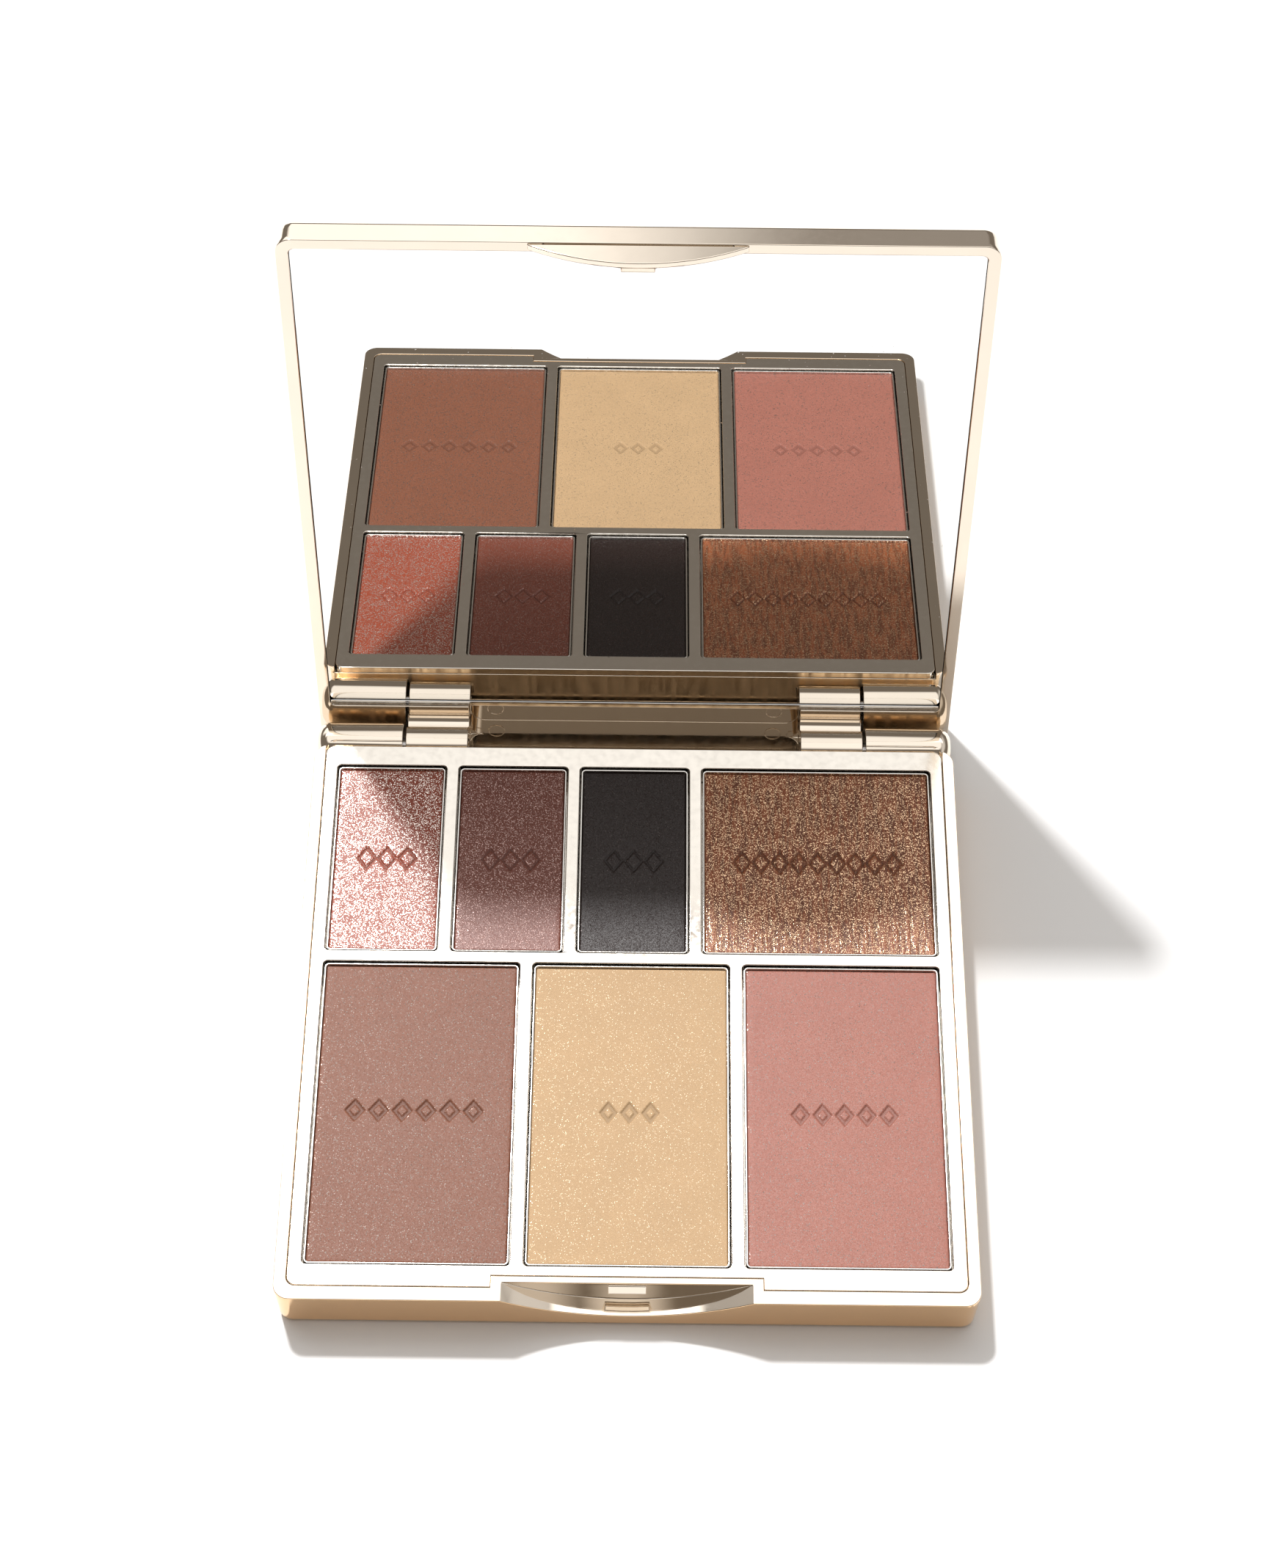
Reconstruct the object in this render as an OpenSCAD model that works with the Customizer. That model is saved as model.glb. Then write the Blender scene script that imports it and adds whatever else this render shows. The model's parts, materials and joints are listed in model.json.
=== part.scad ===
// Seven-pan face powder palette with a mirrored lid, drawn standing open.
// Millimetres. X to the right, Y to the back, Z up; the origin is the centre of the underside.

/* [Case] */
// Width of the case
body_w = 130; // [110:1:160]
// Depth of the case over the hinge barrels
body_d = 131.4; // [110:0.2:160]
// Height of the base from its underside to its rim
base_h = 11; // [10:0.5:14]
// Height of the lid from its rim to its top
lid_h = 6.2; // [5.4:0.2:9]
// Radius of the upright corners
corner_r = 3; // [2.6:0.1:5]
// Radius along the bottom edge of the base and the top edge of the lid
edge_r = 1.6; // [0.8:0.1:1.8]
// Slope of the outer walls
draft_angle = 2.5; // [0:0.5:3]
// Width of the rim at the sides
side_rim = 2.4; // [2:0.1:4]
// Width of the rim at the front
front_rim = 2.85; // [2.2:0.05:4]
// Thickness of the floor of the base
floor_t = 1.5; // [1:0.1:2.5]

/* [Lid] */
// Angle that the lid stands open
open_angle = 98; // [0:1:99]
// Gap between the rims when the lid is shut
lid_gap = 0.15; // [0.1:0.05:0.5]
// Thickness of the top of the lid
lid_top_t = 2.1; // [1.4:0.1:2.6]
// Thickness of the mirror glass
mirror_t = 1.3; // [1:0.1:2]
// How far the mirror sits back from the rim of the lid
mirror_drop = 0.6; // [0.3:0.1:1]

/* [Hinge] */
// Height of the hinge axis above the underside
axis_h = 5.4; // [5.2:0.1:6]
// Radius of the hinge barrels on the base
barrel_r = 4.6; // [4:0.1:5]
// Radius of the hinge knuckles on the lid
knuckle_r = 4; // [3.4:0.1:4.2]
// Length of each hinge barrel
barrel_len = 17.6; // [12:0.1:24]
// Length of each hinge knuckle
knuckle_len = 12.7; // [8:0.1:16]
// Gap between a barrel and a knuckle
hinge_gap = 0.6; // [0.3:0.1:1]
// Diameter of the hinge pins
pin_d = 2; // [1.5:0.1:2.5]
// Length of the hinge pins
pin_len = 24; // [18:0.5:26]

/* [Tray and pans] */
// Space between neighbouring pan openings
pan_gap = 2.4; // [1.6:0.1:4]
// Width of each small eye colour opening
eye_w = 22.2; // [18:0.1:26]
// Depth of the openings in the back row
back_row_d = 43.8; // [36:0.1:48]
// Depth of the openings in the front row
front_row_d = 64.8; // [56:0.1:68]
// Width of the tray face in front of the front row
tray_front = 4.35; // [3.5:0.05:6]
// Depth of the pan wells below the tray face
well_depth = 4.9; // [4:0.1:5.5]
// Thickness of the sheet metal of a pan
pan_sheet = 0.35; // [0.25:0.05:0.6]
// How far the pan rims sit below the tray face
pan_drop = 0.45; // [0.2:0.05:1]
// How far the powder sits below the rim of its pan
powder_drop = 0.4; // [0.2:0.05:1]

/* [Latch] */
// Half the width of the finger scoop in the front wall
scoop_half_w = 23.2; // [16:0.1:28]
// Depth of the finger scoop below the rim, at its middle
scoop_depth = 6.5; // [5:0.1:7]
// How far the finger scoop reaches behind the front wall
scoop_reach = 3.8; // [3:0.1:5]
// Half the width of the crescent tongue on the lid
tongue_half_w = 20.3; // [14:0.1:24]
// Depth of the crescent tongue below the rim, at its middle
tongue_depth = 5.2; // [4:0.1:5.6]
// Thickness of the tongue
tongue_t = 1.2; // [0.8:0.1:1.6]
// Width of the catch
catch_w = 7; // [4:0.1:10]

/* [Hidden] */
$fn = 64;

// A small overlap, so that joined shapes share volume and cuts pass right through
eps = 0.02;
// A cut's overshoot beyond an open face
over = 2;

// Colours
gold = "#d9b98f";
pale_gold = "#e9dccb";
steel = "#b9bcc0";
glass = "#cfd8dc";
glue = "#f2efe6";

// Case outline
front_y = -body_d / 2;
back_y = body_d / 2;
axis_y = back_y - barrel_r;
side_x = body_w / 2;

// The base ends in a back wall just in front of the hinge
wall_gap = 3.8;
base_back_y = axis_y - wall_gap;
base_d = base_back_y - front_y;

// Tray plate, which drops into the rim of the base
tray_slack = 0.1;
tray_plate_t = 1.45;
tray_top = base_h - 0.05;
tray_seat = tray_top - tray_plate_t;
tray_x = side_x - side_rim;
tray_front_y = front_y + front_rim;
tray_back_y = base_back_y - 0.2;
tray_corner_r = 1.8;
notch_half_w = 25.1;
notch_d = 2.35;

// Pan openings: the front row has three equal ones, the back row three small and one wide
field_half_w = tray_x - 2.5;
front_pan_w = (2 * field_half_w - 2 * pan_gap) / 3;
highlight_w = 2 * field_half_w - 3 * (eye_w + pan_gap);
front_row_y = tray_front_y + tray_front;
back_row_y = front_row_y + front_row_d + pan_gap;
well_corner_r = 0.9;
well_wall = 0.8;
well_floor_t = 1;
well_floor = tray_top - well_depth;
block_bottom = well_floor - well_floor_t;
pan_slack = 0.3;
glue_t = 0.15;

// Each opening as [left edge, front edge, width, depth]
OPENINGS = [
  [-field_half_w, back_row_y, eye_w, back_row_d],
  [-field_half_w + eye_w + pan_gap, back_row_y, eye_w, back_row_d],
  [-field_half_w + 2 * (eye_w + pan_gap), back_row_y, eye_w, back_row_d],
  [field_half_w - highlight_w, back_row_y, highlight_w, back_row_d],
  [-field_half_w, front_row_y, front_pan_w, front_row_d],
  [-field_half_w + front_pan_w + pan_gap, front_row_y, front_pan_w, front_row_d],
  [field_half_w - front_pan_w, front_row_y, front_pan_w, front_row_d]
];

// Radius of the arc with a given half chord and depth
function arc_r(half_chord, depth) = (half_chord * half_chord + depth * depth) / (2 * depth);

// Finger scoop, catch and tongue
scoop_r = arc_r(scoop_half_w, scoop_depth);
scoop_back_y = front_y + scoop_reach;
catch_out = 0.95;
catch_top = base_h - 0.5;
catch_h = 2.9;
catch_root = 1;
tongue_r = arc_r(tongue_half_w, tongue_depth);
tongue_setback = 0.35;
tongue_y = front_y + tongue_setback;
tongue_root_h = 1.5;
tongue_root_half_w = 17;
tongue_end_r = 0.5;
hook_clearance = 0.12;
hook_h = 1;
hook_top = catch_top - catch_h - 0.3;

// Hinge, from the outer ends inwards
barrel_x = side_x - barrel_len;
knuckle_out_x = barrel_x - hinge_gap;
knuckle_in_x = knuckle_out_x - knuckle_len;
barrel_end_r = 2.6;
pin_running_gap = 0.05;
pin_in_x = knuckle_in_x + 1.5;
pin_socket_end_x = pin_in_x + pin_len + 0.5;
knuckle_clearance = 0.35;

// Lid, in its shut place
lid_bottom = base_h + lid_gap;
lid_top = lid_bottom + lid_h;
lid_back_y = axis_y + knuckle_r;
lid_d = lid_back_y - front_y;
lid_mid_y = (lid_back_y + front_y) / 2;
lid_front_rim = 2.15;
pocket_top = lid_top - lid_top_t;
pocket_front_y = front_y + lid_front_rim;
pocket_back_y = axis_y - 5.6;
pocket_corner_r = 1.2;
skirt_t = 1.5;
skirt_bottom = axis_h - 3.12;
hollow_corner_r = 3;
frame_slack = 0.1;
bezel_w = 1.3;
bezel_drop = 0.3;
mirror_face = lid_bottom + mirror_drop;
mirror_back = mirror_face + mirror_t;
mirror_glue_t = 0.2;
mirror_slack = 0.1;

// Flat rectangle with round corners, centred
module round_rect(w, d, r) {
  square([w - 2 * r, d], center = true);
  square([w, d - 2 * r], center = true);
  for (sx = [-1, 1])
    for (sy = [-1, 1])
      translate([sx * (w / 2 - r), sy * (d / 2 - r)])
        circle(r);
}

// Upright block with round corners, set by its left and front edges
module round_block(x, y, w, d, r, z0, z1) {
  translate([x + w / 2, y + d / 2, z0])
    linear_extrude(height = z1 - z0)
      round_rect(w, d, r);
}

// Slice of a disc from the direction `from` degrees above the X axis up to the Y axis
module disc_slice(r, from) {
  reach = 2 * r;
  intersection() {
    circle(r);
    polygon([
      [0, 0],
      [reach * cos(from), reach * sin(from)],
      [reach, reach],
      [0, reach]
    ]);
  }
}

// Edge of a soft block: the wall starts upright at corner_r, leans in and turns over the top
module edge_section(h) {
  lean = (edge_r + (h - edge_r) * sin(draft_angle)) / cos(draft_angle);
  arc_x = corner_r - lean;
  arc_z = h - edge_r;
  polygon([
    [0, 0],
    [corner_r, 0],
    [arc_x + edge_r * cos(draft_angle), arc_z + edge_r * sin(draft_angle)],
    [arc_x, arc_z],
    [arc_x, h],
    [0, h]
  ]);
  translate([arc_x, arc_z])
    disc_slice(edge_r, draft_angle);
}

// Block with round corners, leaning sides and a round top edge, centred on X and Y
module soft_block(w, d, h) {
  half_w = w / 2 - corner_r;
  half_d = d / 2 - corner_r;
  translate([-half_w, -half_d, 0])
    cube([2 * half_w, 2 * half_d, h]);
  for (turn = [0 : 3]) {
    out = turn % 2 == 0 ? half_w : half_d;
    run = turn % 2 == 0 ? half_d : half_w;
    rotate([0, 0, 90 * turn])
      translate([out, run, 0]) {
        rotate([90, 0, 0])
          linear_extrude(height = 2 * run)
            edge_section(h);
        rotate_extrude(angle = 90)
          edge_section(h);
      }
  }
}

// Cylinder along X from x0 to x1 on the hinge axis
module on_axis(r, x0, x1) {
  translate([x0, axis_y, axis_h])
    rotate([0, 90, 0])
      cylinder(r = r, h = x1 - x0);
}

// Outline in the Y-Z plane drawn out along X from x0 to x1
module along_x(x0, x1) {
  translate([x0, 0, 0])
    rotate([90, 0, 90])
      linear_extrude(height = x1 - x0)
        children();
}

// One hinge barrel with a round outer end and its web to the back wall
module barrel() {
  translate([barrel_x, axis_y, axis_h])
    rotate([0, 90, 0])
      rotate_extrude() {
        square([barrel_r, barrel_len - barrel_end_r]);
        square([barrel_r - barrel_end_r, barrel_len]);
        translate([barrel_r - barrel_end_r, barrel_len - barrel_end_r])
          disc_slice(barrel_end_r, 0);
      }
  web_half_h = sqrt(barrel_r * barrel_r - wall_gap * wall_gap);
  translate([barrel_x, base_back_y - over, axis_h - web_half_h])
    cube([barrel_len - barrel_end_r, wall_gap + over, 2 * web_half_h]);
}

// Space for the tray: the plate's seat, and the wells' block below it
module tray_space() {
  difference() {
    round_block(
      -tray_x - tray_slack, tray_front_y - tray_slack,
      2 * (tray_x + tray_slack), base_back_y + over - tray_front_y + tray_slack,
      tray_corner_r, tray_seat, base_h + over
    );
    translate([-notch_half_w, tray_front_y - over, tray_seat - over])
      cube([2 * notch_half_w, over + notch_d - tray_slack, tray_plate_t + 3 * over]);
  }
  round_block(
    -field_half_w - well_wall - 0.3, front_row_y - well_wall - 0.3,
    2 * (field_half_w + well_wall + 0.3), back_row_y + back_row_d - front_row_y + 2 * (well_wall + 0.3),
    1.5, floor_t, tray_seat + eps
  );
}

// Upright ribs on the floor of the base, under the walls between the wells
module floor_ribs() {
  rib_t = 1.2;
  rib_top = block_bottom - 0.05;
  for (x = [-0.5, 0.5])
    translate([x * (front_pan_w + pan_gap) - rib_t / 2, front_row_y + 5, floor_t - eps])
      cube([rib_t, back_row_y + back_row_d - front_row_y - 10, rib_top - floor_t + eps]);
  translate([-field_half_w + 5, back_row_y - pan_gap / 2 - rib_t / 2, floor_t - eps])
    cube([2 * field_half_w - 10, rib_t, rib_top - floor_t + eps]);
}

// Finger scoop: a shallow round trough that runs back from the front wall
module scoop() {
  translate([0, scoop_back_y, base_h - scoop_depth + scoop_r])
    rotate([90, 0, 0])
      cylinder(r = scoop_r, h = scoop_reach + over, $fn = 128);
}

module base_shell() {
  color(gold) {
    difference() {
      union() {
        translate([0, front_y + base_d / 2, base_h])
          rotate([180, 0, 0])
            soft_block(body_w, base_d, base_h);
        barrel();
        mirror([1, 0, 0])
          barrel();
      }
      tray_space();
      scoop();
      catch_socket();
      for (side = [0, 1])
        mirror([side, 0, 0]) {
          on_axis(pin_d / 2, barrel_x - over, pin_socket_end_x);
          on_axis(knuckle_r + knuckle_clearance, knuckle_in_x - 0.3, barrel_x);
        }
    }
    floor_ribs();
  }
}

module catch_socket() {
  translate([-catch_w / 2 + 0.5, scoop_back_y - over, catch_top - catch_h + 0.4])
    cube([catch_w - 1, over + catch_root, catch_h - 0.8]);
}

// Catch: a bar with sloped faces that stands out of the back of the scoop
module latch_catch() {
  color(gold) {
    along_x(-catch_w / 2, catch_w / 2)
      polygon([
        [scoop_back_y, catch_top],
        [scoop_back_y - 0.35, catch_top],
        [scoop_back_y - catch_out, catch_top - catch_h * 0.45],
        [scoop_back_y - catch_out, catch_top - catch_h * 0.75],
        [scoop_back_y - 0.35, catch_top - catch_h],
        [scoop_back_y, catch_top - catch_h]
      ]);
    translate([-catch_w / 2 + 0.55, scoop_back_y - eps, catch_top - catch_h + 0.45])
      cube([catch_w - 1.1, catch_root - 0.03 + eps, catch_h - 0.9]);
  }
}

module pan_tray() {
  color(pale_gold)
    difference() {
      union() {
        difference() {
          round_block(
            -tray_x, tray_front_y, 2 * tray_x, tray_back_y - tray_front_y,
            tray_corner_r, tray_seat, tray_top
          );
          translate([-notch_half_w, tray_front_y - over, tray_seat - over])
            cube([2 * notch_half_w, over + notch_d, tray_plate_t + 2 * over]);
        }
        round_block(
          -field_half_w - well_wall, front_row_y - well_wall,
          2 * (field_half_w + well_wall), back_row_y + back_row_d - front_row_y + 2 * well_wall,
          1.5, block_bottom, tray_seat + eps
        );
      }
      for (o = OPENINGS)
        round_block(o[0], o[1], o[2], o[3], well_corner_r, well_floor, tray_top + over);
    }
}

module pan_adhesive() {
  inset = 3;
  color(glue)
    for (o = OPENINGS)
      round_block(
        o[0] + inset, o[1] + inset, o[2] - 2 * inset, o[3] - 2 * inset,
        well_corner_r, well_floor, well_floor + glue_t
      );
}

pan_floor = well_floor + glue_t;
pan_top = tray_top - pan_drop;

// A square-cornered tin of thin sheet metal in opening o
module pan(o) {
  inner = pan_slack + pan_sheet;
  color(steel)
    difference() {
      round_block(
        o[0] + pan_slack, o[1] + pan_slack, o[2] - 2 * pan_slack, o[3] - 2 * pan_slack,
        well_corner_r, pan_floor, pan_top
      );
      round_block(
        o[0] + inner, o[1] + inner, o[2] - 2 * inner, o[3] - 2 * inner,
        well_corner_r - pan_sheet, pan_floor + pan_sheet, pan_top + over
      );
    }
}

// The pressed powder cake that fills the pan in opening o
module powder(o, tint) {
  inner = pan_slack + pan_sheet;
  color(tint)
    round_block(
      o[0] + inner, o[1] + inner, o[2] - 2 * inner, o[3] - 2 * inner,
      well_corner_r - pan_sheet, pan_floor + pan_sheet, pan_top - powder_drop
    );
}

// Hinge pin on the right; the left one is its mirror image
module hinge_pin() {
  color(steel)
    on_axis(pin_d / 2, pin_in_x, pin_in_x + pin_len);
}

// Turns what is drawn shut about the hinge axis into its open place
module opened() {
  translate([0, axis_y, axis_h])
    rotate([-open_angle, 0, 0])
      translate([0, -axis_y, -axis_h])
        children();
}

// Back skirt of the lid with the knuckle's round section and a fillet up to the flange
module knuckle_section() {
  fillet_r = 2;
  fillet_y = axis_y - 1.5;
  translate([axis_y, axis_h])
    circle(knuckle_r);
  translate([fillet_y, axis_h])
    square([lid_back_y - fillet_y, lid_bottom - axis_h + eps]);
  difference() {
    translate([fillet_y - fillet_r, lid_bottom - fillet_r])
      square([fillet_r + eps, fillet_r + eps]);
    translate([fillet_y - fillet_r, lid_bottom - fillet_r])
      circle(fillet_r);
  }
}

module skirt_section() {
  translate([lid_back_y - skirt_t, skirt_bottom])
    square([skirt_t, lid_bottom - skirt_bottom + eps]);
}

module lid_shell() {
  color(gold)
    opened()
      difference() {
        union() {
          translate([0, lid_mid_y, lid_bottom])
            soft_block(body_w, lid_d, lid_h);
          for (side = [0, 1])
            mirror([side, 0, 0])
              along_x(knuckle_in_x, knuckle_out_x)
                knuckle_section();
          along_x(-knuckle_out_x, knuckle_out_x)
            skirt_section();
        }
        round_block(
          -tray_x, pocket_front_y, 2 * tray_x, pocket_back_y - pocket_front_y,
          pocket_corner_r, lid_bottom - over, pocket_top
        );
        round_block(
          -knuckle_in_x, pocket_back_y - 2 * hollow_corner_r,
          2 * knuckle_in_x, lid_back_y - skirt_t - pocket_back_y + 2 * hollow_corner_r,
          hollow_corner_r, lid_bottom, pocket_top
        );
        tongue_socket();
        for (side = [0, 1])
          mirror([side, 0, 0])
            on_axis(pin_d / 2 + pin_running_gap, knuckle_in_x - over, knuckle_out_x + over);
      }
}

// Slot in the front rim of the lid that holds the tongue's root
module tongue_socket() {
  translate([-tongue_root_half_w - 0.05, tongue_y - 0.02, lid_bottom - over])
    cube([2 * tongue_root_half_w + 0.1, tongue_t + 0.04, over + tongue_root_h + 0.05]);
}

// Crescent tongue: a circular segment with small round ends, a root and a hook behind
module latch_tongue() {
  color(pale_gold)
    opened() {
      translate([0, tongue_y + tongue_t, 0])
        rotate([90, 0, 0])
          linear_extrude(height = tongue_t) {
            intersection() {
              translate([0, lid_bottom - tongue_depth + tongue_r])
                circle(tongue_r, $fn = 128);
              translate([-tongue_half_w + tongue_end_r, lid_bottom - tongue_depth - over])
                square([2 * (tongue_half_w - tongue_end_r), tongue_depth + over]);
            }
            translate([-tongue_root_half_w, lid_bottom - eps])
              square([2 * tongue_root_half_w, tongue_root_h + eps]);
          }
      hook_y = scoop_back_y - catch_out - hook_clearance;
      translate([-catch_w / 2 + 0.4, tongue_y + tongue_t - eps, hook_top - hook_h])
        cube([catch_w - 0.8, hook_y - tongue_y - tongue_t + eps, hook_h]);
    }
}

// Plate behind the mirror with the bezel bar along its lower edge
module mirror_frame() {
  color(pale_gold)
    opened() {
      round_block(
        -tray_x + frame_slack, pocket_front_y + frame_slack,
        2 * (tray_x - frame_slack), pocket_back_y - pocket_front_y - 2 * frame_slack,
        pocket_corner_r, mirror_back + mirror_glue_t, pocket_top
      );
      translate([-tray_x + frame_slack, pocket_back_y - frame_slack - bezel_w, lid_bottom + bezel_drop])
        cube([2 * (tray_x - frame_slack), bezel_w, mirror_back + mirror_glue_t - lid_bottom - bezel_drop + eps]);
    }
}

module mirror_block(inset, z0, z1) {
  mirror_back_y = pocket_back_y - frame_slack - bezel_w;
  opened()
    round_block(
      -tray_x + inset, pocket_front_y + inset,
      2 * (tray_x - inset), mirror_back_y - pocket_front_y - 2 * inset,
      pocket_corner_r, z0, z1
    );
}

module mirror_adhesive() {
  color(glue)
    mirror_block(6, mirror_back, mirror_back + mirror_glue_t);
}

module mirror_glass() {
  color(glass)
    mirror_block(mirror_slack, mirror_face, mirror_back);
}

base_shell();
pan_tray();
pan_adhesive();
pan(OPENINGS[0]);  // pan_eye_left
pan(OPENINGS[1]);  // pan_eye_centre
pan(OPENINGS[2]);  // pan_eye_right
pan(OPENINGS[3]);  // pan_highlight
pan(OPENINGS[4]);  // pan_bronze
pan(OPENINGS[5]);  // pan_set
pan(OPENINGS[6]);  // pan_blush
powder(OPENINGS[0], "#c98a70");  // powder_eye_left
powder(OPENINGS[1], "#6f4038");  // powder_eye_centre
powder(OPENINGS[2], "#33292a");  // powder_eye_right
powder(OPENINGS[3], "#b08a62");  // powder_highlight
powder(OPENINGS[4], "#a37a68");  // powder_bronze
powder(OPENINGS[5], "#e3c193");  // powder_set
powder(OPENINGS[6], "#c08077");  // powder_blush
latch_catch();
mirror([1, 0, 0]) hinge_pin();  // hinge_pin_left
hinge_pin();  // hinge_pin_right
lid_shell();
mirror_frame();
mirror_adhesive();
mirror_glass();  // mirror
latch_tongue();
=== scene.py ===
"""Seven-pan face palette with a mirrored lid, standing open on a pale floor.

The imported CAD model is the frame. Its metal pieces are shown as copies with softened edges, its
powders as pressed cakes with an embossed row of lozenges, and everything gets a node material.
All lengths are in metres.
"""
import json
import math

import bmesh
import bpy
from mathutils import Matrix, Vector, noise
from mathutils.bvhtree import BVHTree


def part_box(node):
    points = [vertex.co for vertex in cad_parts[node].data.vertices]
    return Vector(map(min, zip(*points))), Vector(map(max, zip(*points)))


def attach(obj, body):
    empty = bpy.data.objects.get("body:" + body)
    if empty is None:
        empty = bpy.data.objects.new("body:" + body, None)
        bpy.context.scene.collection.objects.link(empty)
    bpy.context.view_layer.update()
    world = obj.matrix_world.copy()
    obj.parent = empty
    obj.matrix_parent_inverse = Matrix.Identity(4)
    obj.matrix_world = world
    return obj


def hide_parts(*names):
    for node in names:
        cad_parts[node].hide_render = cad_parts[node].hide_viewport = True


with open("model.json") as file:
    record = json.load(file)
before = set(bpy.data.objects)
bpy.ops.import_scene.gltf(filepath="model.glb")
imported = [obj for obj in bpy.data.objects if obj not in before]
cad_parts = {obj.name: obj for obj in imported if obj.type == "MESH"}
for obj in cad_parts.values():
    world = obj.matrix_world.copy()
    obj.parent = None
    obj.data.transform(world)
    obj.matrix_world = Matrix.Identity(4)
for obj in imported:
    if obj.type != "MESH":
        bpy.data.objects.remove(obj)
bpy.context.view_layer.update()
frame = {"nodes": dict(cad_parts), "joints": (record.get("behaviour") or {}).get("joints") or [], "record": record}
scene = bpy.context.scene

MM = 0.001

# ---------------------------------------------------------------- camera

CAMERA_POS = Vector((1.8, -316.2, 555.5)) * MM
CAMERA_AIM = Vector((-0.0017, 0.5564, -0.8309))
CAMERA_RIGHT = Vector((0.9999, 0.0101, 0.0047))
LENS_MM = 49.56
SENSOR_MM = 24.0


def make_camera():
    """Camera above the front edge, looking down at the open palette."""
    data = bpy.data.cameras.new("camera")
    data.sensor_fit = "VERTICAL"
    data.sensor_height = SENSOR_MM
    data.lens = LENS_MM
    data.clip_start = 0.01
    data.clip_end = 20
    camera = bpy.data.objects.new("camera", data)
    scene.collection.objects.link(camera)
    back = -CAMERA_AIM.normalized()
    right = (CAMERA_RIGHT - CAMERA_RIGHT.dot(back) * back).normalized()
    up = back.cross(right)
    turn = Matrix((right, up, back)).transposed().to_4x4()
    camera.matrix_world = Matrix.Translation(CAMERA_POS) @ turn
    scene.camera = camera


make_camera()

# ---------------------------------------------------------------- material helpers


class Shader:
    """A node material being built: adds nodes, and links sockets by name."""

    def __init__(self, name):
        self.mat = bpy.data.materials.new(name)
        self.mat.use_nodes = True
        self.tree = self.mat.node_tree
        self.bsdf = self.tree.nodes["Principled BSDF"]
        self.place = self.add("ShaderNodeTexCoord").outputs["Object"]

    def add(self, kind, links=None, **values):
        """A new node. values set its properties, and links its inputs to numbers or to sockets."""
        made = self.tree.nodes.new(kind)
        for key, value in values.items():
            setattr(made, key, value)
        for key, value in (links or {}).items():
            self.set(made, key, value)
        return made

    def set(self, made, key, value):
        socket = made.inputs[key]
        if isinstance(value, bpy.types.NodeSocket):
            self.tree.links.new(value, socket)
        else:
            socket.default_value = value

    def surface(self, **values):
        """Sets inputs of the surface shader; underscores stand for the spaces in their names."""
        for key, value in values.items():
            self.set(self.bsdf, key.replace("_", " "), value)

    def noise(self, scale, detail=2.0, stretch=(1, 1, 1), distortion=0.0):
        place = self.add("ShaderNodeMapping", {"Vector": self.place, "Scale": stretch}).outputs[0]
        links = {"Vector": place, "Scale": scale, "Detail": detail, "Distortion": distortion}
        return self.add("ShaderNodeTexNoise", links).outputs["Fac"]

    def ramp(self, value, low, high, to_low=0.0, to_high=1.0):
        """value from low..high mapped smoothly to to_low..to_high."""
        links = {
            "Value": value,
            "From Min": low,
            "From Max": high,
            "To Min": to_low,
            "To Max": to_high,
        }
        return self.add("ShaderNodeMapRange", links, interpolation_type="SMOOTHSTEP").outputs["Result"]

    def blend(self, amount, low, high):
        """The colour low where amount is 0, and high where it is 1."""
        mix = self.add("ShaderNodeMix", data_type="RGBA")
        self.set(mix, 0, amount)
        self.set(mix, 6, low if isinstance(low, bpy.types.NodeSocket) else (*low, 1))
        self.set(mix, 7, high if isinstance(high, bpy.types.NodeSocket) else (*high, 1))
        return mix.outputs[2]

    def leaning(self, random_colour, tilt):
        """The surface's own normal, leaning at random by up to about tilt."""
        own = self.add("ShaderNodeNewGeometry").outputs["Normal"]
        lean = self.vector("MULTIPLY_ADD", random_colour, (2 * tilt,) * 3, (-tilt,) * 3)
        return self.vector("NORMALIZE", self.vector("ADD", own, lean))

    def multiply(self, a, b):
        return self.add("ShaderNodeMath", {0: a, 1: b}, operation="MULTIPLY").outputs[0]

    def vector(self, operation, *values):
        made = self.add("ShaderNodeVectorMath", dict(enumerate(values)), operation=operation)
        return made.outputs["Vector"]

    def bump(self, height, distance, strength=1.0, normal=None):
        links = {"Height": height, "Distance": distance, "Strength": strength}
        if normal is not None:
            links["Normal"] = normal
        return self.add("ShaderNodeBump", links).outputs["Normal"]


def shade(colour, factor):
    return tuple(min(1.0, c * factor) for c in colour)


# ---------------------------------------------------------------- metals and glass


def metallised(name, tint, roughness, wave):
    """Vacuum-metallised plastic: a tinted mirror with faint moulding waves and hazy patches."""
    s = Shader(name)
    haze = s.noise(90, detail=3)
    streaks = s.noise(700, detail=2, stretch=(1, 1, 0.12))
    s.surface(
        Base_Color=s.blend(s.ramp(haze, 0.35, 0.7), shade(tint, 0.985), shade(tint, 1.015)),
        Metallic=1.0,
        Roughness=s.ramp(streaks, 0.3, 0.75, roughness * 0.7, roughness * 1.5),
        Normal=s.bump(s.noise(160, detail=1), wave),
    )
    return s.mat


def drawn_sheet(name, tint, roughness):
    """Thin drawn tinplate: fine lines round the rim and small dents."""
    s = Shader(name)
    lines = s.noise(2500, detail=2, stretch=(1, 1, 0.15))
    dents = s.noise(600, detail=1)
    s.surface(
        Base_Color=s.blend(s.ramp(lines, 0.3, 0.7), shade(tint, 0.9), tint),
        Metallic=1.0,
        Roughness=s.ramp(lines, 0.3, 0.7, roughness * 0.7, roughness * 1.4),
        Normal=s.bump(dents, 0.03 * MM),
    )
    return s.mat


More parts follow.
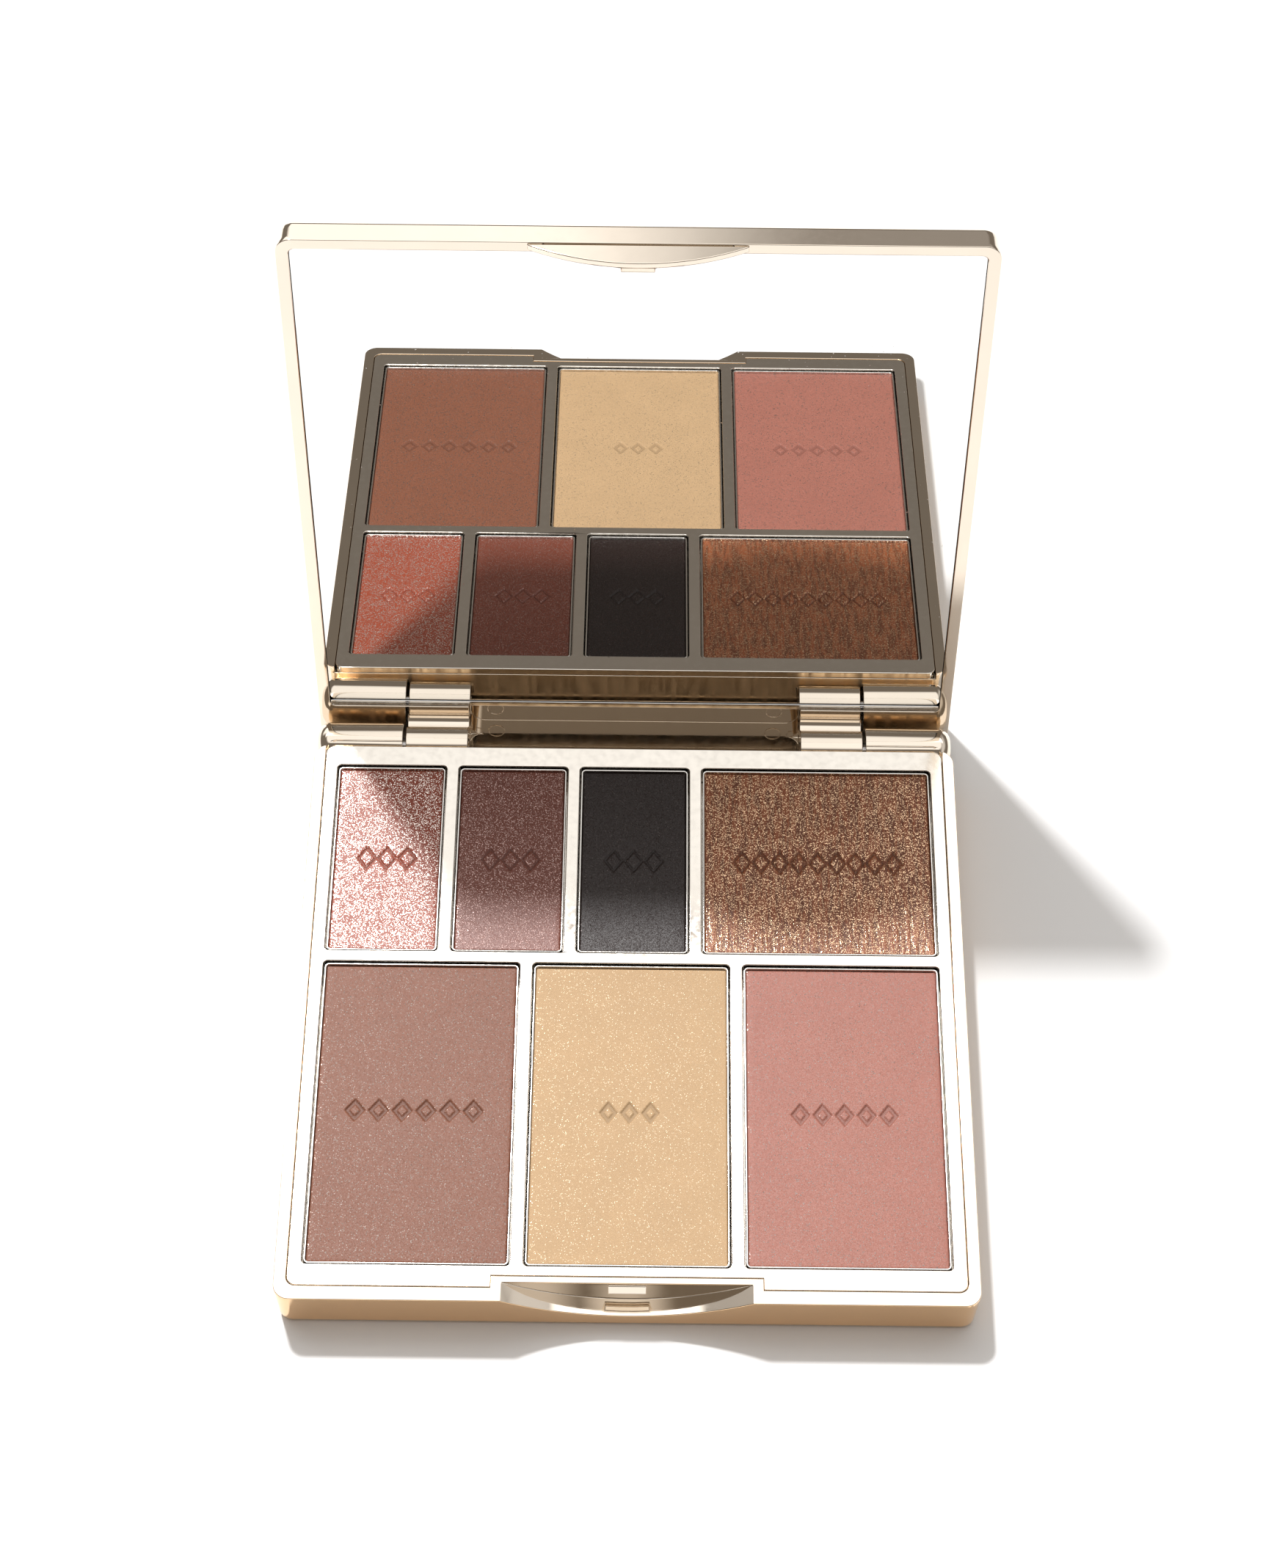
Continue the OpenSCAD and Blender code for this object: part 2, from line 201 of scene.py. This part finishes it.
def silvered_glass(name):
    """Mirror glass, faintly cool, with a trace of dust."""
    s = Shader(name)
    dust = s.ramp(s.noise(1800, detail=1), 0.74, 0.8)
    s.surface(
        Base_Color=s.blend(dust, (0.93, 0.935, 0.93), (0.85, 0.85, 0.84)),
        Metallic=1.0,
        Roughness=s.ramp(dust, 0, 1, 0.0, 0.12),
    )
    return s.mat


def soft_glue(name):
    """Pale pressure-sensitive film."""
    s = Shader(name)
    cloud = s.noise(300, detail=3)
    s.surface(
        Base_Color=s.blend(cloud, (0.72, 0.69, 0.6), (0.86, 0.84, 0.78)),
        Roughness=0.6,
        Normal=s.bump(cloud, 0.05 * MM),
    )
    return s.mat


# Deeper gold for the base's outward walls than for its upward faces: the gold hue is the casing's own, the
# difference between them is painted light.
WALL_GOLD_PAINTED_LIGHT = metallised("wall_gold_painted_light", (0.97, 0.66, 0.38), 0.075, 0.012 * MM)
CHAMPAGNE = metallised("champagne_metallised", (0.84, 0.75, 0.64), 0.06, 0.008 * MM)
SATIN_GOLD = metallised("gold_satin", (0.97, 0.72, 0.46), 0.42, 0.012 * MM)
PALE = metallised("pale_metallised", (0.89, 0.84, 0.77), 0.15, 0.006 * MM)
SILVER = metallised("silver_trim", (0.88, 0.89, 0.90), 0.12, 0.03 * MM)
TINPLATE = drawn_sheet("tinplate", (0.86, 0.84, 0.81), 0.16)
PIN_STEEL = drawn_sheet("pin_steel", (0.62, 0.62, 0.63), 0.3)
MIRROR_GLASS = silvered_glass("mirror_glass")
GLUE = soft_glue("glue")

# ---------------------------------------------------------------- powders


def powder(name, tint, flake_tint, flake, tilt, shine, roughness, brushed=0.0):
    """Pressed powder: fine grain with specks of mica.

    flake is the size of the specks, tilt how far they lean, and shine the share of them that are
    bright. brushed adds upright wavy stripes, as a soft brush leaves. Where the mesh's attribute
    pressed is high, the body is darker and fewer specks shine: painted shade in the pressed grooves.
    """
    s = Shader(name)
    cells = s.add("ShaderNodeTexVoronoi", {"Vector": s.place, "Scale": 1 / flake})
    speck = s.add("ShaderNodeSeparateColor", {"Color": cells.outputs["Color"]})
    pressed = s.add("ShaderNodeAttribute", attribute_name="pressed").outputs["Fac"]
    lit = s.ramp(speck.outputs["Red"], 1 - shine - 0.02, 1 - shine + 0.02)
    # fewer bright specks in the pressed grooves: part of their painted shade
    lit = s.multiply(lit, s.ramp(pressed, 0.2, 0.8, 1.0, 0.1))
    clouds = s.noise(140, detail=4)
    grain = s.noise(5200, detail=3)
    body = s.blend(s.ramp(clouds, 0.25, 0.75), shade(tint, 0.97), shade(tint, 1.03))
    body = s.blend(s.ramp(grain, 0.25, 0.75, 0.0, 0.35), body, shade(tint, 0.7))
    if brushed:
        stripes = s.noise(1300, detail=2, stretch=(1, 0.13, 1), distortion=0.5)
        body = s.blend(s.ramp(stripes, 0.38, 0.62, 0, brushed), body, shade(tint, 2.2))
    # the body darkened in the pressed grooves: painted shade
    body = s.blend(s.ramp(pressed, 0.2, 1.0, 0.0, 0.5), body, shade(tint, 0.45))
    colour = s.blend(lit, body, flake_tint)
    normal = s.bump(grain, 0.05 * MM, 0.6, s.leaning(cells.outputs["Color"], tilt))
    if brushed:
        normal = s.bump(stripes, 0.22 * MM, 1.0, normal)
    s.surface(
        Base_Color=colour,
        Metallic=s.ramp(lit, 0, 1, 0.0, 0.85),
        Roughness=s.ramp(lit, 0, 1, roughness, roughness * 0.5),
        Normal=normal,
    )
    return s.mat


POWDERS = {
    "powder_eye_left": powder("copper_shimmer", (0.29, 0.058, 0.028), (1.0, 0.88, 0.81),
                              0.14 * MM, 0.09, 0.19, 0.46),
    "powder_eye_centre": powder("burgundy", (0.168, 0.042, 0.023), (0.66, 0.47, 0.43),
                                0.10 * MM, 0.11, 0.10, 0.42),
    "powder_eye_right": powder("soft_black", (0.014, 0.0050, 0.0034), (0.06, 0.05, 0.048),
                               0.14 * MM, 0.20, 0.06, 0.46),
    "powder_highlight": powder("gold_shimmer", (0.166, 0.047, 0.016), (0.92, 0.63, 0.40),
                               0.13 * MM, 0.10, 0.18, 0.46, brushed=0.6),
    "powder_bronze": powder("bronze", (0.203, 0.073, 0.039), (0.29, 0.235, 0.21),
                            0.16 * MM, 0.18, 0.08, 0.55),
    "powder_set": powder("beige", (0.486, 0.320, 0.172), (0.54, 0.45, 0.325),
                         0.14 * MM, 0.10, 0.04, 0.70),
    "powder_blush": powder("rose", (0.346, 0.130, 0.095), (0.325, 0.27, 0.25),
                           0.16 * MM, 0.16, 0.05, 0.55),
}

# ---------------------------------------------------------------- pieces

SHORT_EDGE = 0.01 * MM
TOUCHING = 0.09 * MM
BACK_TO_BACK = -0.99
MANY_FACES = 100
NEAR_HULL = 0.6 * MM
FACES_OPENING = 0.75
FACES_BACK = 0.9
FLAT = math.radians(0.6)
SHARP = math.radians(28)


def body_of(node):
    for body, members in frame["record"]["behaviour"]["bodies"].items():
        if node in members:
            return body
    raise ValueError(node)


def tint_walls_as_painted_light(piece, outer_mat, opening):
    """Gives the outward faces of a shell outer_mat: those on its hull that don't face its opening.
    Their deeper gold, against the paler faces that look up, is painted light.
    """
    whole = bmesh.new()
    for point in piece.data.vertices:
        whole.verts.new(point.co)
    bmesh.ops.convex_hull(whole, input=whole.verts)
    hull = BVHTree.FromBMesh(whole)
    whole.free()
    piece.data.materials.append(outer_mat)
    points = piece.data.vertices
    on_hull = [hull.find_nearest(point.co)[3] < NEAR_HULL for point in points]
    for face in piece.data.polygons:
        outward = face.normal.dot(opening) < FACES_OPENING
        from_hinge = (face.center - HINGE).yz.length
        if outward and from_hinge > HINGE_ZONE and all(on_hull[i] for i in face.vertices):
            face.material_index = 1


def satin_back(piece):
    """Gives satin gold to the faces that look back at the hinge, between its barrels."""
    piece.data.materials.append(SATIN_GOLD)
    last = len(piece.data.materials) - 1
    for face in piece.data.polygons:
        if face.normal.y > FACES_BACK and face.center.y > HINGE.y - HINGE_ZONE:
            face.material_index = last


def stand_for(piece, node):
    """The piece is shown in place of the CAD node, and moves with its body."""
    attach(piece, body_of(node))
    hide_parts(node)


def link(mesh, name, mat):
    piece = bpy.data.objects.new(name, mesh)
    scene.collection.objects.link(piece)
    piece.data.materials.append(mat)
    return piece


def drop_inner_walls(made):
    """Deletes faces that lie back to back, which are left inside where solids were joined."""
    tree = BVHTree.FromBMesh(made)
    inner = []
    for face in made.faces:
        near = tree.find_nearest_range(face.calc_center_median(), TOUCHING)
        if any(normal.dot(face.normal) < BACK_TO_BACK for _, normal, _, _ in near):
            inner.append(face)
    bmesh.ops.delete(made, geom=inner, context="FACES")
    drop_flaps(made)


def drop_flaps(made):
    """Deletes small sheets that have a free edge: what is left of walls inside the solid."""
    waiting = set(made.faces)
    flaps = []
    while waiting:
        sheet = [waiting.pop()]
        for face in sheet:
            for edge in face.edges:
                near = [f for f in edge.link_faces if edge.is_manifold and f in waiting]
                waiting.difference_update(near)
                sheet += near
        free = any(edge.is_boundary for face in sheet for edge in face.edges)
        if free and len(sheet) < MANY_FACES:
            flaps += sheet
    bmesh.ops.delete(made, geom=flaps, context="FACES")


def apply_modifiers(piece):
    graph = bpy.context.evaluated_depsgraph_get()
    piece.data = bpy.data.meshes.new_from_object(piece.evaluated_get(graph))
    piece.modifiers.clear()


def pull_in_strays(mesh, as_built, reach):
    """Puts points that lie further than reach from the CAD surface back on it."""
    for point in mesh.vertices:
        place, _, _, distance = as_built.find_nearest(point.co)
        if distance > reach:
            point.co = place


def softened(node, width, mat, segments=2):
    """A copy of a CAD node whose sharp edges are rounded off, so that they catch the light."""
    made = bmesh.new()
    made.from_mesh(frame["nodes"][node].data)
    as_built = BVHTree.FromBMesh(made)
    bmesh.ops.remove_doubles(made, verts=made.verts, dist=SHORT_EDGE)
    drop_inner_walls(made)
    bmesh.ops.dissolve_limit(made, angle_limit=FLAT, verts=made.verts, edges=made.edges)
    for face in made.faces:
        face.smooth = True
    mesh = bpy.data.meshes.new(node + "_finished")
    made.to_mesh(mesh)
    made.free()
    piece = link(mesh, node + "_finished", mat)
    bevel = piece.modifiers.new("edges", "BEVEL")
    bevel.limit_method = "ANGLE"
    bevel.angle_limit = SHARP
    bevel.width = width
    bevel.segments = segments
    bevel.use_clamp_overlap = False
    apply_modifiers(piece)
    pull_in_strays(piece.data, as_built, width)
    keep_flat = piece.modifiers.new("flat faces stay flat", "WEIGHTED_NORMAL")
    keep_flat.weight = 100
    stand_for(piece, node)
    return piece


def carry_over(node, mat):
    """A CAD node that is shown as it is, with its material."""
    slots = frame["nodes"][node].data.materials
    slots.clear()
    slots.append(mat)


HINGE = Vector(frame["joints"][0]["pos_m"])
HINGE_ZONE = 6.5 * MM
base = softened("base_shell", 0.16 * MM, CHAMPAGNE)
# the outward walls a deeper gold than the upward faces: painted light
tint_walls_as_painted_light(base, WALL_GOLD_PAINTED_LIGHT, Vector((0, 0, 1)))
satin_back(base)
softened("lid_shell", 0.16 * MM, CHAMPAGNE)
softened("latch_tongue", 0.2 * MM, CHAMPAGNE)
softened("latch_catch", 0.15 * MM, CHAMPAGNE)
tray = softened("pan_tray", 0.2 * MM, PALE, 3)
satin_back(tray)
softened("mirror_frame", 0.12 * MM, SILVER)
carry_over("mirror", MIRROR_GLASS)
for node in ("pan_adhesive", "mirror_adhesive"):
    carry_over(node, GLUE)
for node in ("hinge_pin_left", "hinge_pin_right"):
    carry_over(node, PIN_STEEL)

# ---------------------------------------------------------------- moulding marks

MARK_FROM_HINGE = Vector((28.9, 9.9, -0.5)) * MM
MARK_RADIUS = 1.65 * MM
MARK_HEIGHT = 0.1 * MM
MARK_STEPS = 48
MARK_SIDES = 8


def ejector_mark(name, side):
    """A raised ring on the lid's inner wall, where a pin pushed the lid out of its mould."""
    wall = bmesh.new()
    wall.from_mesh(frame["nodes"]["lid_shell"].data)
    sought = HINGE + Vector((side * MARK_FROM_HINGE.x, MARK_FROM_HINGE.y, MARK_FROM_HINGE.z))
    place, normal, _, _ = BVHTree.FromBMesh(wall).find_nearest(sought)
    wall.free()
    on_wall = Matrix.Translation(place) @ normal.to_track_quat("Z", "Y").to_matrix().to_4x4()
    made = bmesh.new()
    rings = []
    for i in range(MARK_STEPS):
        turn = math.tau * i / MARK_STEPS
        ring = []
        for j in range(MARK_SIDES):
            tilt = math.tau * j / MARK_SIDES
            out = MARK_RADIUS + MARK_HEIGHT * math.cos(tilt)
            up = MARK_HEIGHT * math.sin(tilt)
            point = Vector((out * math.cos(turn), out * math.sin(turn), up))
            ring.append(made.verts.new(on_wall @ point))
        rings.append(ring)
    for i in range(MARK_STEPS):
        ring = rings[i]
        following = rings[(i + 1) % MARK_STEPS]
        for j in range(MARK_SIDES):
            k = (j + 1) % MARK_SIDES
            made.faces.new((ring[j], following[j], following[k], ring[k])).smooth = True
    mesh = bpy.data.meshes.new(name)
    made.to_mesh(mesh)
    made.free()
    piece = link(mesh, name, CHAMPAGNE)
    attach(piece, body_of("lid_shell"))


ejector_mark("ejector_mark_left", -1)
ejector_mark("ejector_mark_right", 1)

# ---------------------------------------------------------------- pressed powders

CAKE_ROUND = 0.45 * MM
CAKE_CORNER = 0.5 * MM
FINE_STEP = 0.15 * MM
COARSE_STEP = 1.0 * MM
BORDER_STEPS = tuple(step * MM for step in (0.0, 0.04, 0.1, 0.2, 0.32, 0.45))
ROW_HEIGHT = 4.8 * MM
LOZENGE_SHARE = 0.86
GROOVE = 0.24 * MM
SLOPE = 0.3 * MM
SUNK_RIM = 0.75 * MM
CORE_RISE = 0.7
SWELL = 0.03 * MM
SWELL_SCALE = 120

# Each powder's slot, how many lozenges it has, how long the row is, and how deep and in what
# manner it is pressed: grooved outlines or sunk lozenges.
MOTIFS = {
    "powder_eye_left": ("powder_copper_shimmer", 3, 12 * MM, 0.36 * MM, "grooved"),
    "powder_eye_centre": ("powder_burgundy", 3, 12 * MM, 0.24 * MM, "grooved"),
    "powder_eye_right": ("powder_soft_black", 3, 12 * MM, 0.24 * MM, "grooved"),
    "powder_highlight": ("powder_gold_shimmer", 9, 34 * MM, 0.34 * MM, "grooved"),
    "powder_bronze": ("powder_bronze", 6, 27 * MM, 0.3 * MM, "sunk"),
    "powder_set": ("powder_beige", 3, 12 * MM, 0.3 * MM, "sunk"),
    "powder_blush": ("powder_rose", 5, 21 * MM, 0.3 * MM, "sunk"),
}


def smooth(t):
    t = min(1.0, max(0.0, t))
    return t * t * (3 - 2 * t)


def lozenge_press(x, y, count, length, depth, manner):
    """How deep the die of a row of lozenges presses at x, y from the middle of the row."""
    pitch = length / count
    half_w = pitch * LOZENGE_SHARE / 2
    half_h = ROW_HEIGHT / 2
    place = min(count - 1, max(0, math.floor(x / pitch + count / 2)))
    dx = x - (place - (count - 1) / 2) * pitch
    span = half_w * half_h / math.hypot(half_w, half_h)
    out = (abs(dx) / half_w + abs(y) / half_h - 1) * span
    if manner == "grooved":
        return depth * math.exp(-((out / GROOVE) ** 2))
    rim = smooth(0.5 - out / SLOPE)
    core = smooth(0.5 - (out + SUNK_RIM) / SLOPE)
    return depth * (rim - CORE_RISE * core)


def lines(low, high, fine_half):
    """Grid lines from low to high: close at the border and in the middle, wide in between."""
    middle = (low + high) / 2
    half = (high - low) / 2
    side = [half - step for step in BORDER_STEPS]
    gap = side[-1] - fine_half
    wide = max(1, round(gap / COARSE_STEP))
    side += [side[-1] - gap * (i + 1) / wide for i in range(wide)]
    fine = round(fine_half / FINE_STEP)
    side += [fine_half * (1 - (i + 1) / fine) for i in range(fine)]
    return [middle - s for s in side] + [middle + s for s in reversed(side[:-1])]


def round_corner(x, y, half_w, half_h):
    """Pulls the square grid's corners in to a round corner."""
    u = (abs(x) - (half_w - CAKE_CORNER)) / CAKE_CORNER
    v = (abs(y) - (half_h - CAKE_CORNER)) / CAKE_CORNER
    if u <= 0 or v <= 0:
        return x, y
    across = half_w - CAKE_CORNER + CAKE_CORNER * u * math.sqrt(1 - v * v / 2)
    along = half_h - CAKE_CORNER + CAKE_CORNER * v * math.sqrt(1 - u * u / 2)
    return math.copysign(across, x), math.copysign(along, y)


def cake(node):
    """The pressed cake in one pan: rounded border, gently uneven top and the embossed row."""
    slot, count, length, depth, manner = MOTIFS[node]
    low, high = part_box(node)
    middle = (low + high) / 2
    half_w = (high.x - low.x) / 2
    half_h = (high.y - low.y) / 2
    columns = lines(low.x, high.x, length / 2 + 0.5 * MM)
    rows = lines(low.y, high.y, ROW_HEIGHT / 2 + 0.6 * MM)
    seed = Vector((middle.x, middle.y, count)) * 50
    made = bmesh.new()
    pressed = made.verts.layers.float.new("pressed")
    grid = []
    for y in rows:
        row = []
        for x in columns:
            dx = x - middle.x
            dy = y - middle.y
            inset = min(half_w - abs(dx), half_h - abs(dy))
            fall = CAKE_ROUND - math.sqrt(max(0, CAKE_ROUND**2 - max(0, CAKE_ROUND - inset) ** 2))
            swell = noise.noise(Vector((x, y, 0)) * SWELL_SCALE + seed) * SWELL
            press = lozenge_press(dx, dy, count, length, depth, manner)
            px, py = round_corner(dx, dy, half_w, half_h)
            z = high.z - SWELL - fall - press + swell
            point = made.verts.new((middle.x + px, middle.y + py, z))
            point[pressed] = max(0.0, press / depth)
            row.append(point)
        grid.append(row)
    for r in range(len(rows) - 1):
        for c in range(len(columns) - 1):
            made.faces.new((grid[r][c], grid[r][c + 1], grid[r + 1][c + 1], grid[r + 1][c]))
    border = grid[0] + [row[-1] for row in grid[1:-1]] + grid[-1][::-1]
    border += [row[0] for row in grid[-2:0:-1]]
    foot = [made.verts.new((v.co.x, v.co.y, low.z)) for v in border]
    for i in range(len(border)):
        j = (i + 1) % len(border)
        made.faces.new((border[j], border[i], foot[i], foot[j]))
    made.faces.new(foot[::-1])
    for face in made.faces:
        face.smooth = True
    mesh = bpy.data.meshes.new(node + "_cake")
    made.to_mesh(mesh)
    made.free()
    piece = link(mesh, node + "_cake", POWDERS[node])
    stand_for(piece, node)


for node in MOTIFS:
    cake(node)
    pan = node.replace("powder", "pan")
    softened(pan, 0.13 * MM, TINPLATE)

# ---------------------------------------------------------------- stage and light

bpy.ops.mesh.primitive_plane_add(size=8)
floor = bpy.context.object
floor.name = "floor"
paper = Shader("pale_floor")
paper.surface(Base_Color=(0.8, 0.8, 0.8, 1), Roughness=0.9)
floor.data.materials.append(paper.mat)

KEY_TOWARDS = Vector((-0.27, 0.565, 1.0)).normalized()
KEY_DISTANCE = 2.0
KEY_SIZE = 0.15
KEY_POWER = 43
ROOM = (0.20, 0.175, 0.15)
OVERHEAD = 1.3
BANK = 2.2
PANEL = 1.5
SIDE = 0.7


def make_key():
    """A small soft lamp high behind the lid's left side, which throws the lid's shadow."""
    data = bpy.data.lights.new("key", "AREA")
    data.shape = "DISK"
    data.size = KEY_SIZE
    data.energy = KEY_POWER
    lamp = bpy.data.objects.new("key", data)
    scene.collection.objects.link(lamp)
    turn = KEY_TOWARDS.to_track_quat("Z", "Y").to_matrix().to_4x4()
    lamp.matrix_world = Matrix.Translation(KEY_TOWARDS * KEY_DISTANCE) @ turn


def make_sky():
    """Studio surroundings: a dim room with white light above and around it.

    There is a bank high behind the lid, a lower panel behind its left half, a weaker fill from the
    right, and a patch straight overhead. Where two overlap, the brighter one counts.
    """
    world = bpy.data.worlds.new("studio")
    scene.world = world
    world.use_nodes = True
    tree = world.node_tree
    place = tree.nodes.new("ShaderNodeTexCoord").outputs["Generated"]
    axes = tree.nodes.new("ShaderNodeSeparateXYZ")
    tree.links.new(place, axes.inputs[0])

    def rise(axis, low, high, to_low, to_high):
        ramp = tree.nodes.new("ShaderNodeMapRange")
        ramp.interpolation_type = "SMOOTHSTEP"
        limits = {"From Min": low, "From Max": high, "To Min": to_low, "To Max": to_high}
        for key, value in limits.items():
            ramp.inputs[key].default_value = value
        tree.links.new(axes.outputs[axis], ramp.inputs["Value"])
        return ramp.outputs["Result"]

    def combine(operation, a, b):
        made = tree.nodes.new("ShaderNodeMath")
        made.operation = operation
        for socket, value in zip(made.inputs, (a, b)):
            if isinstance(value, float):
                socket.default_value = value
            else:
                tree.links.new(value, socket)
        return made.outputs[0]

    overhead = rise("Z", 0.84, 0.95, 0.0, OVERHEAD)
    bank = combine("MULTIPLY", rise("Z", 0.72, 0.79, 0.0, BANK), rise("Y", 0.05, 0.35, 0.0, 1.0))
    panel = combine("MULTIPLY", rise("Y", 0.3, 0.6, 0.0, PANEL), rise("X", -0.04, 0.06, 1.0, 0.12))
    panel = combine("MULTIPLY", panel, rise("Z", 0.3, 0.4, 0.0, 1.0))
    side = combine("MULTIPLY", rise("X", 0.25, 0.6, 0.0, SIDE), rise("Z", 0.4, 0.6, 0.0, 1.0))
    for other in (side, panel, overhead):
        bank = combine("MAXIMUM", bank, other)
    room = tree.nodes["Background"]
    room.inputs["Color"].default_value = (*ROOM, 1)
    lamps = tree.nodes.new("ShaderNodeBackground")
    tree.links.new(bank, lamps.inputs["Strength"])
    total = tree.nodes.new("ShaderNodeAddShader")
    tree.links.new(room.outputs[0], total.inputs[0])
    tree.links.new(lamps.outputs[0], total.inputs[1])
    tree.links.new(total.outputs[0], tree.nodes["World Output"].inputs["Surface"])


make_key()
make_sky()
scene.view_settings.view_transform = "Standard"
